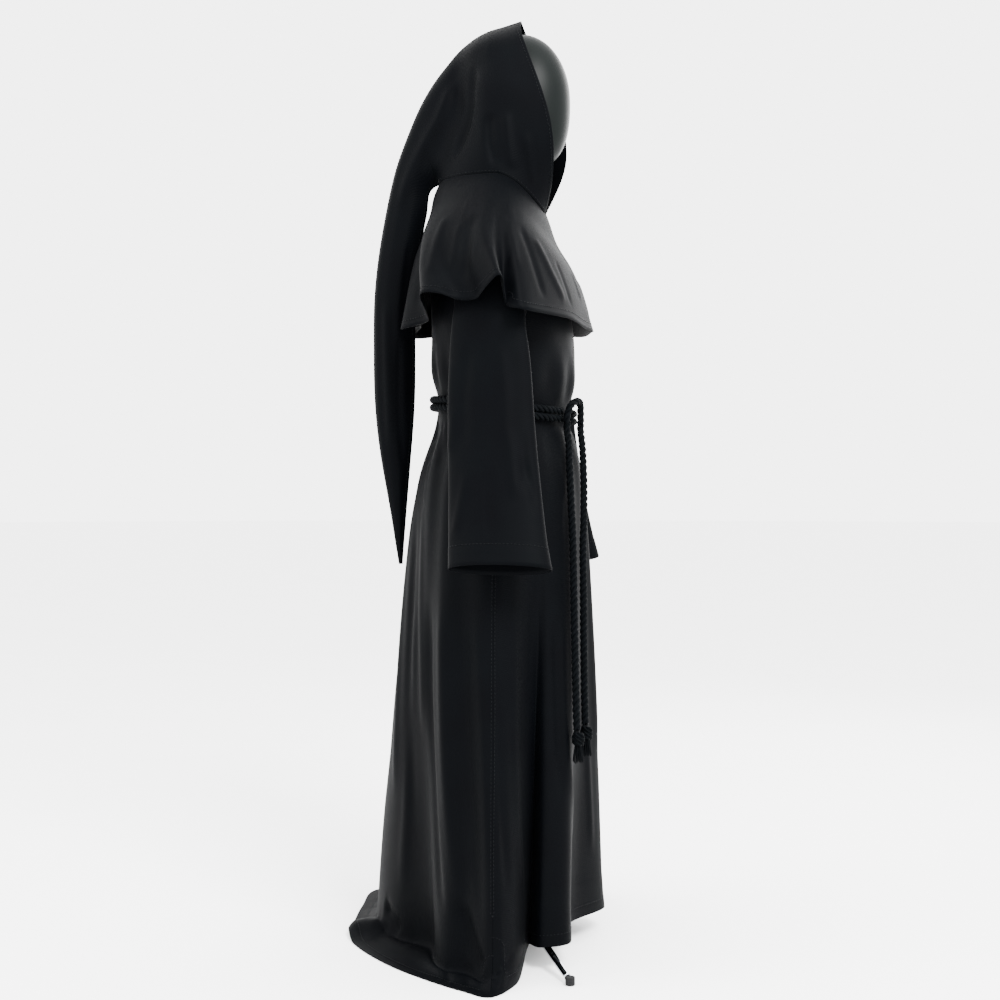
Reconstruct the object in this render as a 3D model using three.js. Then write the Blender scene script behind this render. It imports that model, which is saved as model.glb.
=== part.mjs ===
// A monk habit on a limbless dress form: robe with a train, wide sleeves, shoulder cape, hood with
// a long tail, rope belt, egg head, torso and tripod stand. Millimetres, +Z up, front towards -Y,
// the wearer's right towards -X. The pieces are laid out around the upright line x = y = 0 on the
// floor, and the finished group is moved so that its own middle stands on the origin.
import * as THREE from "three";

// Driving dimensions
const CLOTH = 2; // thickness of every cloth wall
const SEAM = 0.3; // gap between pieces that are sewn together
const LAP = 0.6; // gap between a layer and the layer that it rests on
const CAPE_LAP = 0.9; // the same under the cape, whose yoke bends most
const ROPE = 14.5; // diameter of the rope belt
const BELT_HEIGHT = 1056; // middle of the two turns of rope, at the side
const BELT_TILT = 0.1; // the belt sits higher at the back
const BELT_LEVEL = 8.5; // place of the belt among the rows of BODICE
const SEAM_ANGLE = 80; // degrees from the front to a side seam at the waist
const POLE_Y = -10; // the stand's upright, just in front of the middle
const LEG_REACH = 303; // from the pole to the middle of a foot
const LEG_TURN = 56.4; // degrees from the front to the first leg
const LEG_TUBE = 14;
const FORM_BASE = 815; // underside of the dress form
const LEG_SLOPE = 0.3; // fall of a leg for each millimetre outwards
const FOOT_HEIGHT = 15;

// Wool and stand finishes
const FINISHES = {
  wool: { color: 0x1b1d22, roughness: 0.92, metalness: 0 },
  rope: { color: 0x1a1c21, roughness: 0.85, metalness: 0 },
  shell: { color: 0x262c2b, roughness: 0.55, metalness: 0 },
  chrome: { color: 0xb9bcc0, roughness: 0.18, metalness: 1 },
  rubber: { color: 0x2a2a2b, roughness: 0.8, metalness: 0 },
};

const habit = new THREE.Group();

function addPiece(name, finish, geometry) {
  const mesh = new THREE.Mesh(geometry, new THREE.MeshStandardMaterial(FINISHES[finish]));
  mesh.name = name;
  habit.add(mesh);
  return mesh;
}

const radians = THREE.MathUtils.degToRad;
const lerp = THREE.MathUtils.lerp;
const clamp = THREE.MathUtils.clamp;

// A smooth value through a table's column; place 2.5 is half way between rows 2 and 3.
function along(rows, column, place, closed = false) {
  const count = rows.length;
  const last = count - 1;
  const pick = (i) => rows[closed ? (i + count) % count : clamp(i, 0, last)][column];
  const i = closed ? Math.floor(place) : clamp(Math.floor(place), 0, last - 1);
  const t = place - i;
  const [a, b, c, d] = [pick(i - 1), pick(i), pick(i + 1), pick(i + 2)];
  const bend = (2 * a - 5 * b + 4 * c - d) * t * t + (3 * b - a - 3 * c + d) * t * t * t;
  return b + ((c - a) * t + bend) / 2;
}

// A cloth wall on surface(u, v), which gives the inner face. It goes `CLOTH` out along the
// surface's own normal. closed says that u = 1 meets u = 0. edge(normal, u, v) may turn a normal,
// and inset(u, v) gives the points where they stand back from the surface's edges.
function clothWall(surface, columns, rows, options = {}) {
  const { closed = false, edge = null, flip = false, inset = surface } = options;
  const step = 1e-4;
  const inner = [];
  const outer = [];
  for (const v of rows) {
    for (const u of columns) {
      const point = inset(u, v);
      const ahead = surface(u + step, v).sub(surface(u - step, v));
      const down = surface(u, Math.min(v + step, 1)).sub(surface(u, Math.max(v - step, 0)));
      const normal = down.cross(ahead).normalize().multiplyScalar(flip ? -1 : 1);
      if (edge) edge(normal, u, v);
      inner.push(point);
      outer.push(point.clone().addScaledVector(normal, CLOTH));
    }
  }
  const across = columns.length;
  const wide = closed ? across : across - 1;
  const tall = rows.length - 1;
  const at = (i, j) => i * across + (j % across);
  const shift = inner.length;
  const index = [];
  const quad = (a, b, c, d) => index.push(a, b, c, a, c, d);
  for (let i = 0; i < tall; i++) {
    for (let j = 0; j < wide; j++) {
      const [a, b, c, d] = [at(i, j), at(i, j + 1), at(i + 1, j + 1), at(i + 1, j)];
      // both faces share a diagonal, so that they stay parallel where the cloth twists
      quad(a + shift, b + shift, c + shift, d + shift);
      quad(c, b, a, d);
    }
  }
  for (let j = 0; j < wide; j++) {
    quad(at(0, j + 1) + shift, at(0, j) + shift, at(0, j), at(0, j + 1));
    quad(at(tall, j) + shift, at(tall, j + 1) + shift, at(tall, j + 1), at(tall, j));
  }
  if (!closed) {
    for (let i = 0; i < tall; i++) {
      quad(at(i, 0) + shift, at(i + 1, 0) + shift, at(i + 1, 0), at(i, 0));
      quad(at(i, wide) + shift, at(i, wide), at(i + 1, wide), at(i + 1, wide) + shift);
    }
  }
  if (!flip) index.reverse();
  const geometry = new THREE.BufferGeometry().setFromPoints([...inner, ...outer]);
  geometry.setIndex(index);
  return geometry;
}

// count + 1 even steps from 0 to 1, or count of them when the last would meet the first
function evenSteps(count, closed = false) {
  return Array.from({ length: closed ? count : count + 1 }, (_, i) => i / count);
}

// Shoulders and chest: one row for each level, from the neck seam down. z at the side, the front
// and the back; half-width, and how far it reaches forwards and backwards. Inner face of the robe.
const BODICE = [
  { zSide: 1507, zFront: 1447, zBack: 1510, width: 97, front: 80, back: 123 },
  { zSide: 1486, zFront: 1422, zBack: 1479, width: 130, front: 89, back: 134 },
  { zSide: 1455, zFront: 1382, zBack: 1437, width: 166, front: 102, back: 140 },
  { zSide: 1418, zFront: 1330, zBack: 1388, width: 188, front: 118, back: 143 },
  { zSide: 1350, zFront: 1276, zBack: 1325, width: 189, front: 129, back: 143 },
  { zSide: 1275, zFront: 1220, zBack: 1255, width: 186, front: 136, back: 139 },
  { zSide: 1190, zFront: 1160, zBack: 1190, width: 180, front: 140, back: 137 },
  { zSide: 1120, zFront: 1105, zBack: 1130, width: 172, front: 139, back: 135 },
  { zSide: 1074, zFront: 1061, zBack: 1087, width: 160, front: 129, back: 126 },
  { zSide: 1038, zFront: 1025, zBack: 1051, width: 160, front: 129, back: 126 },
  { zSide: 1000, zFront: 1000, zBack: 1000, width: 169, front: 139, back: 134 },
];
const WAIST_ROW = BODICE.length - 1;
const GATHERS = 13; // small folds that the belt draws in, all round
const GATHER_DEPTH = 3.5;
const GATHER_DRIFT = { swing: 1.3, waves: 3 }; // makes the gathers unevenly wide

// Skirt: one row for each fold line, from the right side seam round the front, the left side and
// the back. angle is where it leaves the waist (0 front, 90 right), x and y its place on the hem,
// lift the hem's height and lay how much of it lies on the floor.
const SKIRT = [
  { angle: 80, x: -350, y: -52, lift: 0, lay: 50 },
  { angle: 66, x: -262, y: -80, lift: 0, lay: 16 },
  { angle: 52, x: -148, y: -78, lift: 34, lay: 6 },
  { angle: 38, x: -192, y: -112, lift: 46, lay: 6 },
  { angle: 22, x: -158, y: -160, lift: 48, lay: 6 },
  { angle: 2, x: -40, y: -140, lift: 50, lay: 6 },
  { angle: -20, x: 104, y: -188, lift: 46, lay: 6 },
  { angle: -42, x: 188, y: -114, lift: 46, lay: 6 },
  { angle: -62, x: 306, y: -128, lift: 40, lay: 8 },
  { angle: -80, x: 388, y: -118, lift: 6, lay: 24 },
  { angle: -100, x: 398, y: -20, lift: 0, lay: 66 },
  { angle: -122, x: 374, y: 110, lift: 0, lay: 96 },
  { angle: -140, x: 350, y: 240, lift: 0, lay: 74 },
  { angle: -156, x: 290, y: 350, lift: 0, lay: 128 },
  { angle: -170, x: 166, y: 344, lift: 0, lay: 84 },
  { angle: -183, x: 40, y: 324, lift: 0, lay: 56 },
  { angle: -196, x: -62, y: 302, lift: 0, lay: 84 },
  { angle: -212, x: -138, y: 252, lift: 0, lay: 112 },
  { angle: -228, x: -224, y: 166, lift: 0, lay: 104 },
  { angle: -244, x: -290, y: 74, lift: 0, lay: 60 },
  { angle: -262, x: -330, y: 4, lift: 0, lay: 74 },
];
const LEFT_SEAM = 9; // row of SKIRT at the left side seam; row 0 is at the right one
const SKIRT_BELL = { width: 292, front: 200, back: 250, power: 0.55, folds: 1.15 };
const FALL_ROWS = [0.08, 0.2, 0.36, 0.54, 0.72, 0.88, 1];
const HEM_ROWS = [0.2, 0.5, 0.8, 1];
const HANG = 90; // height that the hem band takes where none of it lies on the floor
const CURL = 24; // height of the bend where the cloth turns out onto the floor
const FULL_LAY = 60; // a line that lies on the floor by this much lies flat

// Armholes in the two side seams
const ARMHOLE = { top: 1425, bottom: 1185, halfWidth: 84 };

function waistAngle(place) {
  const turns = Math.floor(place / SKIRT.length);
  const i = Math.floor(place);
  const row = i - turns * SKIRT.length;
  const a = SKIRT[row].angle;
  const b = row === SKIRT.length - 1 ? SKIRT[0].angle - 360 : SKIRT[row + 1].angle;
  return radians(lerp(a, b, place - i) - 360 * turns);
}

// A point of a level of the bodice, at an angle from the front towards the right
function bodicePoint(level, angle) {
  const get = (column) => along(BODICE, column, level);
  const forward = Math.cos(angle) > 0;
  const share = Math.cos(angle) ** 2;
  const z = lerp(get("zSide"), get(forward ? "zFront" : "zBack"), share);
  const reach = get(forward ? "front" : "back");
  const belt = clamp(Math.abs(level - BELT_LEVEL) - 0.5, 0, 1) * clamp(level - 6, 0, 1);
  const drift = GATHER_DRIFT.swing * Math.sin(GATHER_DRIFT.waves * angle);
  const gather = GATHER_DEPTH * belt * Math.cos(GATHERS * angle + drift);
  const x = -(get("width") + gather) * Math.sin(angle);
  return new THREE.Vector3(x, -(reach + gather) * Math.cos(angle), z);
}

const OVER_LEG = { above: 10, overFoot: 9, halfWidth: 40, fadeFrom: 12, fadeTo: 25 };

// Height that the cloth keeps over the rear leg and foot
function overRearLeg(x, y) {
  const out = y - POLE_Y;
  const top = LEG_SLOPE * (LEG_REACH - out) + LEG_TUBE + OVER_LEG.above;
  const [near, far] = [LEG_REACH + OVER_LEG.fadeFrom, LEG_REACH + OVER_LEG.fadeTo];
  const taper = 1 - THREE.MathUtils.smoothstep(out, near, far);
  const aside = x - out * Math.tan(radians(LEG_TURN - 60));
  const height = Math.max(top, FOOT_HEIGHT + OVER_LEG.overFoot);
  return height * taper * Math.exp(-((aside / OVER_LEG.halfWidth) ** 2));
}

// A point of the skirt: down goes from 0 at the waist to 1 where the hem band starts, then to 2
function skirtPoint(place, down) {
  const angle = waistAngle(place);
  const waist = bodicePoint(WAIST_ROW, angle);
  const get = (column) => along(SKIRT, column, place, true);
  const hem = new THREE.Vector3(get("x"), get("y"), 0);
  const lay = Math.max(get("lay"), 6);
  const lift = Math.max(get("lift"), 0);
  const inwards = waist.clone().setZ(0).sub(hem).normalize();
  const foot = hem.clone().addScaledVector(inwards, lay);
  const flat = clamp(lay / FULL_LAY, 0, 1);
  const footHeight = lift + lerp(HANG, CURL, flat);
  const point = new THREE.Vector3();
  if (down <= 1) {
    const reach = Math.cos(angle) > 0 ? SKIRT_BELL.front : SKIRT_BELL.back;
    const bell = new THREE.Vector3(-SKIRT_BELL.width * Math.sin(angle), -reach * Math.cos(angle), 0);
    const growth = down ** SKIRT_BELL.power;
    const folding = down ** SKIRT_BELL.folds;
    point.copy(waist).addScaledVector(bell.clone().sub(waist), growth);
    point.addScaledVector(foot.clone().sub(bell), folding);
    point.z = lerp(waist.z, footHeight, down);
  } else {
    const t = down - 1;
    point.lerpVectors(foot, hem, t);
    point.z = lift + lerp(HANG * (1 - t), CURL * (1 - t) ** 4, flat);
  }
  if (point.y > 120) point.z = Math.max(point.z, overRearLeg(point.x, point.y));
  return point;
}

const BODICE_ROWS = [0, 1, 2, 3, 4, 5, 6, 7, 8, 9];
const ROBE_ROWS = [...BODICE_ROWS, ...[0, ...FALL_ROWS].map((s) => WAIST_ROW + s)].concat(
  HEM_ROWS.map((t) => WAIST_ROW + 1 + t),
);

// A panel of the robe between two side seams, given as places along SKIRT
function robePanel(from, to, columns) {
  const surface = (u, v) => {
    const down = v * (WAIST_ROW + 2);
    const start = from + u * (to - from);
    if (down >= WAIST_ROW) return skirtPoint(start, down - WAIST_ROW);
    const middle = (ARMHOLE.top + ARMHOLE.bottom) / 2;
    const half = (ARMHOLE.top - ARMHOLE.bottom) / 2;
    const level = along(BODICE, "zSide", down);
    const hole = ARMHOLE.halfWidth * Math.sqrt(Math.max(0, 1 - ((level - middle) / half) ** 2));
    const width = along(BODICE, "width", down);
    // fades to nothing at the panel's middle, slowly enough that no column passes the next
    const pull = (hole / width) * (1 - 2 * u) * Math.abs(1 - 2 * u);
    const angle = waistAngle(start) - pull;
    return bodicePoint(down, angle);
  };
  const margin = (u, v) => {
    // half of the seam's gap, the same width all the way down
    const a = surface(0, v);
    const b = surface(1 / columns, v);
    const c = surface(1 - 1 / columns, v);
    const d = surface(1, v);
    const first = SEAM / 2 / a.distanceTo(b) / columns;
    const last = SEAM / 2 / c.distanceTo(d) / columns;
    return surface(u * (1 - first - last) + first, v);
  };
  const rows = ROBE_ROWS.map((row) => row / (WAIST_ROW + 2));
  return clothWall(surface, evenSteps(columns), rows, { inset: margin });
}

addPiece("robe_front", "wool", robePanel(0, LEFT_SEAM, LEFT_SEAM * 4));
addPiece("robe_back", "wool", robePanel(LEFT_SEAM, SKIRT.length, (SKIRT.length - LEFT_SEAM) * 3));

// The outward direction of the bodice's surface
function bodiceNormal(level, angle) {
  const step = 1e-3;
  const lower = bodicePoint(level + step, angle).sub(bodicePoint(Math.max(level - step, 0), angle));
  const round = bodicePoint(level, angle + step).sub(bodicePoint(level, angle - step));
  return round.cross(lower).normalize();
}

function overBodice(level, angle, distance) {
  return bodicePoint(level, angle).addScaledVector(bodiceNormal(level, angle), distance);
}

// Shoulder cape: one row for each crest or hollow of its hem, from the front round the right side
// and the back. angle is where the fold starts on the shoulders.
const CAPE = [
  { angle: 8, x: -20, y: -168, z: 1214 },
  { angle: 30, x: -122, y: -155, z: 1222 },
  { angle: 50, x: -216, y: -124, z: 1222 },
  { angle: 64, x: -272, y: -92, z: 1225 },
  { angle: 75, x: -252, y: -56, z: 1240 },
  { angle: 86, x: -316, y: -62, z: 1281 },
  { angle: 97, x: -288, y: -28, z: 1262 },
  { angle: 108, x: -256, y: -4, z: 1248 },
  { angle: 119, x: -252, y: 30, z: 1247 },
  { angle: 130, x: -268, y: 66, z: 1258 },
  { angle: 140, x: -258, y: 100, z: 1258 },
  { angle: 150, x: -186, y: 106, z: 1232 },
  { angle: 160, x: -126, y: 124, z: 1222 },
  { angle: 169, x: -80, y: 188, z: 1214 },
  { angle: 181, x: 0, y: 168, z: 1228 },
  { angle: 194, x: 72, y: 206, z: 1212 },
  { angle: 208, x: 142, y: 156, z: 1222 },
  { angle: 222, x: 214, y: 170, z: 1228 },
  { angle: 238, x: 262, y: 104, z: 1244 },
  { angle: 252, x: 250, y: 46, z: 1240 },
  { angle: 266, x: 306, y: 22, z: 1268 },
  { angle: 280, x: 262, y: -30, z: 1246 },
  { angle: 294, x: 270, y: -84, z: 1230 },
  { angle: 310, x: 218, y: -128, z: 1222 },
  { angle: 328, x: 118, y: -158, z: 1220 },
  { angle: 346, x: 52, y: -172, z: 1216 },
];
const CAPE_YOKE = 2; // level of the bodice where the cape leaves the shoulders
const CAPE_ROWS = [0, 0.5, 1, 1.2, 1.45, 1.72, 2];
const CAPE_BULGE = 24;
const CAPE_BELL = { width: 262, depth: 185, frontShare: 0.35, folds: 1.7, swell: 0.8 };

function capePoint(u, v) {
  const place = u * CAPE.length;
  const turns = Math.floor(place / CAPE.length);
  const row = Math.floor(place) - turns * CAPE.length;
  const next = row === CAPE.length - 1 ? CAPE[0].angle + 360 : CAPE[row + 1].angle;
  const angle = radians(lerp(CAPE[row].angle, next, place - Math.floor(place)) + 360 * turns);
  if (v < 0.5) return overBodice(v * 2 * CAPE_YOKE, angle, CLOTH + CAPE_LAP);
  const yoke = overBodice(CAPE_YOKE, angle, CLOTH + CAPE_LAP);
  const get = (column) => along(CAPE, column, place, true);
  const t = v * 2 - 1;
  const ringX = -CAPE_BELL.width * Math.sin(angle);
  const ring = new THREE.Vector3(ringX, -CAPE_BELL.depth * Math.cos(angle), get("z"));
  const hem = new THREE.Vector3(get("x"), get("y"), get("z"));
  const point = yoke.clone().addScaledVector(ring.clone().sub(yoke), t);
  point.addScaledVector(hem.sub(ring), t ** CAPE_BELL.folds);
  const out = new THREE.Vector3(-Math.sin(angle), -CAPE_BELL.frontShare * Math.cos(angle), 0);
  return point.addScaledVector(out, CAPE_BULGE * Math.sin(Math.PI * t ** CAPE_BELL.swell));
}

const CAPE_COLUMNS = 65;
const capeRows = CAPE_ROWS.map((row) => row / 2);
const capeWall = clothWall(capePoint, evenSteps(CAPE_COLUMNS, true), capeRows, {
  closed: true,
  flip: true,
});
addPiece("cape", "wool", capeWall);

// Sleeve: one row for each level below the armhole. Its outer and inner sides, the middle of its
// depth and half of its depth.
const SLEEVE = [
  { outerX: 190, outerZ: 1424, innerX: 196, innerZ: 1190, y: -19, half: 60 },
  { outerX: 204, outerZ: 1392, innerX: 197, innerZ: 1184, y: -19, half: 61 },
  { outerX: 215, outerZ: 1348, innerX: 197, innerZ: 1177, y: -19, half: 64 },
  { outerX: 225, outerZ: 1298, innerX: 197, innerZ: 1168, y: -19, half: 66 },
  { outerX: 236, outerZ: 1235, innerX: 198, innerZ: 1155, y: -18, half: 69 },
  { outerX: 240, outerZ: 1150, innerX: 199, innerZ: 1125, y: -21, half: 75 },
  { outerX: 252, outerZ: 1040, innerX: 205, innerZ: 1028, y: -25, half: 80 },
  { outerX: 270, outerZ: 925, innerX: 216, innerZ: 915, y: -34, half: 84 },
  { outerX: 294, outerZ: 828, innerX: 232, innerZ: 812, y: -44, half: 89 },
  { outerX: 312, outerZ: 764, innerX: 246, innerZ: 742, y: -53, half: 94 },
];
// The left sleeve hangs further out, over the wider skirt
const LEFT_LEAN = { reach: 26, from: 1100, over: 350 };
const SLEEVE_COLUMNS = 18;
const SLEEVE_ROWS = [0, 0.5, 1, 1.6, 2.3, 3.1, 4, 5, 6, 7, 8, 9];

// Level of the bodice whose side lies at a height
function levelAt(z) {
  let [low, high] = [0, WAIST_ROW];
  for (let i = 0; i < 40; i++) {
    const level = (low + high) / 2;
    if (along(BODICE, "zSide", level) > z) low = level;
    else high = level;
  }
  return low;
}

function sleevePoint(side, u, place) {
  const turn = u * 2 * Math.PI;
  const get = (column) => along(SLEEVE, column, Math.max(place, 1));
  const share = (1 + Math.cos(turn)) / 2;
  const round = Math.sin(turn);
  const ring = new THREE.Vector3(
    -lerp(get("innerX"), get("outerX"), share),
    get("y") - get("half") * round,
    lerp(get("innerZ"), get("outerZ"), share),
  );
  if (place < 1) {
    const level = levelAt(lerp(ARMHOLE.bottom, ARMHOLE.top, share));
    const reach = (ARMHOLE.halfWidth * round) / along(BODICE, "width", level);
    const loop = overBodice(level, radians(SEAM_ANGLE) - reach, CLOTH + 2 * LAP);
    ring.lerpVectors(loop, ring, Math.max(place, 0));
  }
  const lean = LEFT_LEAN.reach * clamp((LEFT_LEAN.from - ring.z) / LEFT_LEAN.over, 0, 1);
  if (side < 0) ring.x -= lean;
  ring.x *= side;
  return ring;
}

for (const [name, side] of [["sleeve_right", 1], ["sleeve_left", -1]]) {
  const surface = (u, v) => sleevePoint(side, u, v * (SLEEVE.length - 1));
  const rows = SLEEVE_ROWS.map((row) => row / (SLEEVE.length - 1));
  const options = { closed: true, flip: side < 0 };
  addPiece(name, "wool", clothWall(surface, evenSteps(SLEEVE_COLUMNS, true), rows, options));
}

// Hood and its tail: one row for each section, from the face edge over the crown to the tip of the
// tail. A section runs from the seam on the ridge to the neck seam (at the angle seam), or to the
// tail's front edge. The half-widths are at a quarter, a half and three quarters of its length.
const HOOD = [
  { ridgeY: -37, ridgeZ: 1831, seam: 0, quarter: 72, half: 94, threeQuarter: 64, bow: 47 },
  { ridgeY: -2, ridgeZ: 1822, seam: 32, quarter: 76, half: 98, threeQuarter: 88, bow: 26 },
  { ridgeY: 28, ridgeZ: 1815, seam: 62, quarter: 74, half: 98, threeQuarter: 100, bow: 8 },
  { ridgeY: 59, ridgeZ: 1801, seam: 92, quarter: 58, half: 88, threeQuarter: 99, bow: 0 },
  { ridgeY: 90, ridgeZ: 1778, seam: 118, quarter: 31, half: 42, threeQuarter: 70, bow: 0 },
  { ridgeY: 115, ridgeZ: 1751, seam: 140, quarter: 29, half: 34, threeQuarter: 42, bow: 0 },
  { ridgeY: 142, ridgeZ: 1718, seam: 158, quarter: 27, half: 31, threeQuarter: 33, bow: 0 },
  { ridgeY: 168, ridgeZ: 1677, seam: 171, quarter: 25, half: 30, threeQuarter: 28, bow: 0 },
  { ridgeY: 191, ridgeZ: 1628, seam: 180, quarter: 24, half: 28, threeQuarter: 22, bow: 0 },
  { ridgeY: 216, ridgeZ: 1566, footY: 150, footZ: 1500, quarter: 23, half: 27, threeQuarter: 21, bow: 0 },
  { ridgeY: 231, ridgeZ: 1514, footY: 155, footZ: 1464, quarter: 23, half: 27, threeQuarter: 21, bow: 0 },
  { ridgeY: 244, ridgeZ: 1455, footY: 163, footZ: 1424, quarter: 23, half: 27, threeQuarter: 22, bow: 0 },
  { ridgeY: 259, ridgeZ: 1370, footY: 173, footZ: 1356, quarter: 23, half: 27, threeQuarter: 22, bow: 0 },
  { ridgeY: 268, ridgeZ: 1280, footY: 180, footZ: 1272, quarter: 22, half: 26, threeQuarter: 21, bow: 0 },
  { ridgeY: 269, ridgeZ: 1190, footY: 181, footZ: 1186, quarter: 21, half: 25, threeQuarter: 20, bow: 0 },
  { ridgeY: 267, ridgeZ: 1080, footY: 182, footZ: 1078, quarter: 19, half: 23, threeQuarter: 18, bow: 0 },
  { ridgeY: 255, ridgeZ: 970, footY: 190, footZ: 970, quarter: 16, half: 19, threeQuarter: 15, bow: 0 },
  { ridgeY: 235, ridgeZ: 862, footY: 199, footZ: 862, quarter: 11, half: 13, threeQuarter: 10, bow: 0 },
  { ridgeY: 223, ridgeZ: 790, footY: 205, footZ: 790, quarter: 8, half: 9, threeQuarter: 8, bow: 0 },
  { ridgeY: 216, ridgeZ: 748, footY: 208, footZ: 748, quarter: 4, half: 5, threeQuarter: 4, bow: 0 },
];
const HOOD_STAND = 2 * CLOTH + LAP + 1.6; // the hood's foot stands on the cape's top edge
const HOOD_ROOF = 0.75; // roundness of the hood over its ridge
const HOOD_BOW = 1.4; // how low the bow of the face edge lies
const HEAD_SECTIONS = 18; // sections of the wall from the face edge to the nape

const NAPE = HOOD.findLastIndex((row) => "seam" in row);
for (const row of HOOD) {
  if (!("seam" in row)) row.seam = 180;
  else Object.assign(row, { footY: hoodFoot(row.seam).y, footZ: hoodFoot(row.seam).z });
}

function hoodFoot(seam) {
  return overBodice(0, radians(seam), HOOD_STAND);
}

function hoodPoint(side, u, v) {
  const place = v * (HOOD.length - 1);
  const get = (column) => along(HOOD, column, place);
  const foot = new THREE.Vector3(0, get("footY"), get("footZ"));
  if (place <= NAPE) foot.copy(hoodFoot(get("seam")));
  const widths = [0, get("quarter"), get("half"), get("threeQuarter"), Math.abs(foot.x)];
  const stations = widths.map((width) => ({ width }));
  const roof = stations[1].width * Math.sin(u * 2 * Math.PI) ** HOOD_ROOF;
  const width = u < 0.25 ? roof : along(stations, "width", u * 4);
  const bow = get("bow") * Math.sin(Math.PI * u ** HOOD_BOW);
  return new THREE.Vector3(
    -side * (Math.max(width, 0) + SEAM / 2),
    lerp(get("ridgeY"), foot.y, u) - bow,
    lerp(get("ridgeZ"), foot.z, u),
  );
}

const hoodSections = evenSteps(HEAD_SECTIONS).map((t) => t * NAPE);
for (let i = NAPE + 1; i < HOOD.length; i++) hoodSections.push(i);
const hoodAcross = [0, 0.05, 0.13, 0.25, 0.4, 0.56, 0.72, 0.88, 1];
const hoodRows = hoodSections.map((place) => place / (HOOD.length - 1));
for (const [name, side] of [["hood_right", 1], ["hood_left", -1]]) {
  const flatten = (normal, u) => {
    if (u === 0 || u === 1) normal.setX(0).normalize();
  };
  const surface = (u, v) => hoodPoint(side, clamp(u, 0, 1), clamp(v, 0, 1));
  const geometry = clothWall(surface, hoodAcross, hoodRows, { edge: flatten, flip: side > 0 });
  addPiece(name, "wool", geometry);
}

// A rope of the belt: a round section carried along a route
function ropeAlong(points, steps, sides = 8) {
  const section = new THREE.Shape().absarc(0, 0, ROPE / 2, 0, 2 * Math.PI);
  const round = new THREE.Shape(section.getSpacedPoints(sides).slice(0, sides));
  const path = points.map((p) => new THREE.Vector3(...p));
  const route = new THREE.CatmullRomCurve3(path, false, "centripetal");
  return new THREE.ExtrudeGeometry(round, { steps, extrudePath: route });
}

// The two turns round the waist, open behind the knot
const KNOT_ANGLE = 14; // degrees from the front to the middle of the knot
const TURN_START = 8; // degrees to each side of the knot
const TURN_STATIONS = 40;
const ROPE_STEPS = { turn: 42, knot: 14, end: 28 };
const BELT_DIP = 1.4; // the cloth stands straight between the levels above and below the belt
for (const [name, rise] of [["belt_turn_upper", 1], ["belt_turn_lower", -1]]) {
  const points = [];
  for (let i = 0; i <= TURN_STATIONS; i++) {
    const angle = radians(KNOT_ANGLE + lerp(TURN_START, 360 - TURN_START, i / TURN_STATIONS));
    const p = overBodice(BELT_LEVEL, angle, CLOTH + LAP + BELT_DIP + ROPE / 2);
    const height = BELT_HEIGHT + BELT_TILT * p.y + (rise * (ROPE + SEAM * 2)) / 2;
    points.push([p.x, p.y, height]);
  }
  addPiece(name, "rope", ropeAlong(points, ROPE_STEPS.turn));
}

// The rope's bight at the front, which the two ends hang from
const KNOT_ROUTE = [
  [-74, -142, 1028],
  [-74, -142, 1040],
  [-66, -148.5, 1062],
  [-44, -157, 1071],
  [-20, -159, 1066],
  [-8, -158, 1042],
  [-8, -158, 1028],
];
addPiece("belt_knot", "rope", ropeAlong(KNOT_ROUTE, ROPE_STEPS.knot));

// Routes of the two hanging ends, from the knot down to their end knots
const END_ROUTES = {
  right: [
    [-74, -142, 1027.4],
    [-74, -142, 1014],
    [-86, -148, 986],
    [-98, -151, 950],
    [-108, -155, 890],
    [-117, -160, 812],
    [-125, -163, 740],
    [-131, -166, 640],
    [-137, -169, 540],
    [-141, -172, 446],
  ],
  left: [
    [-8, -158, 1027.4],
    [-8, -158, 1014],
    [-18, -163, 986],
    [-30, -167, 949],
    [-46, -171, 894],
    [-68, -174, 839],
    [-84, -175, 785],
    [-92, -177, 691],
    [-94, -178, 600],
    [-99, -180, 520],
    [-103, -182, 452],
  ],
};
const END_KNOT = { radius: 15, height: 34, forward: 3 };

for (const [side, route] of Object.entries(END_ROUTES)) {
  addPiece("belt_end_" + side, "rope", ropeAlong(route, ROPE_STEPS.end));
  const [x, y, z] = route[route.length - 1];
  const shape = new THREE.SphereGeometry(END_KNOT.radius, 12, 8);
  shape.rotateX(Math.PI / 2).scale(1, 1, END_KNOT.height / 2 / END_KNOT.radius);
  const endKnot = addPiece("end_knot_" + side, "rope", shape);
  endKnot.position.set(x, y - END_KNOT.forward, z - SEAM - END_KNOT.height / 2);
}

// Dress form: a smooth torso with a neck and a closed base, and an egg head on the neck. Its upper
// part follows the inside of the robe: one row for each level, with its distance to the cloth.
const TORSO_UPPER = [
  { level: 1, clear: LAP },
  { level: 2, clear: LAP },
  { level: 3, clear: 5 },
  { level: 4, clear: 12 },
  { level: 5, clear: 18 },
  { level: 6, clear: 20 },
  { level: 7, clear: 20 },
  { level: BELT_LEVEL, clear: 12 },
];
const HEAD_BASE = 1533;
const NECK = [
  { z: HEAD_BASE - SEAM, width: 50, front: 58, back: 38 },
  { z: 1500, width: 54, front: 46, back: 50 },
];
const TORSO_LOWER = [
  { z: 980, width: 146, front: 116, back: 114 },
  { z: 900, width: 150, front: 116, back: 120 },
  { z: 845, width: 136, front: 102, back: 110 },
  { z: FORM_BASE, width: 90, front: 66, back: 72 },
];
const FORM_SIDES = 24;

function ellipseRing(row) {
  return (angle) => {
    const reach = Math.cos(angle) > 0 ? row.front : row.back;
    return new THREE.Vector3(-row.width * Math.sin(angle), -reach * Math.cos(angle), row.z);
  };
}

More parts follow.
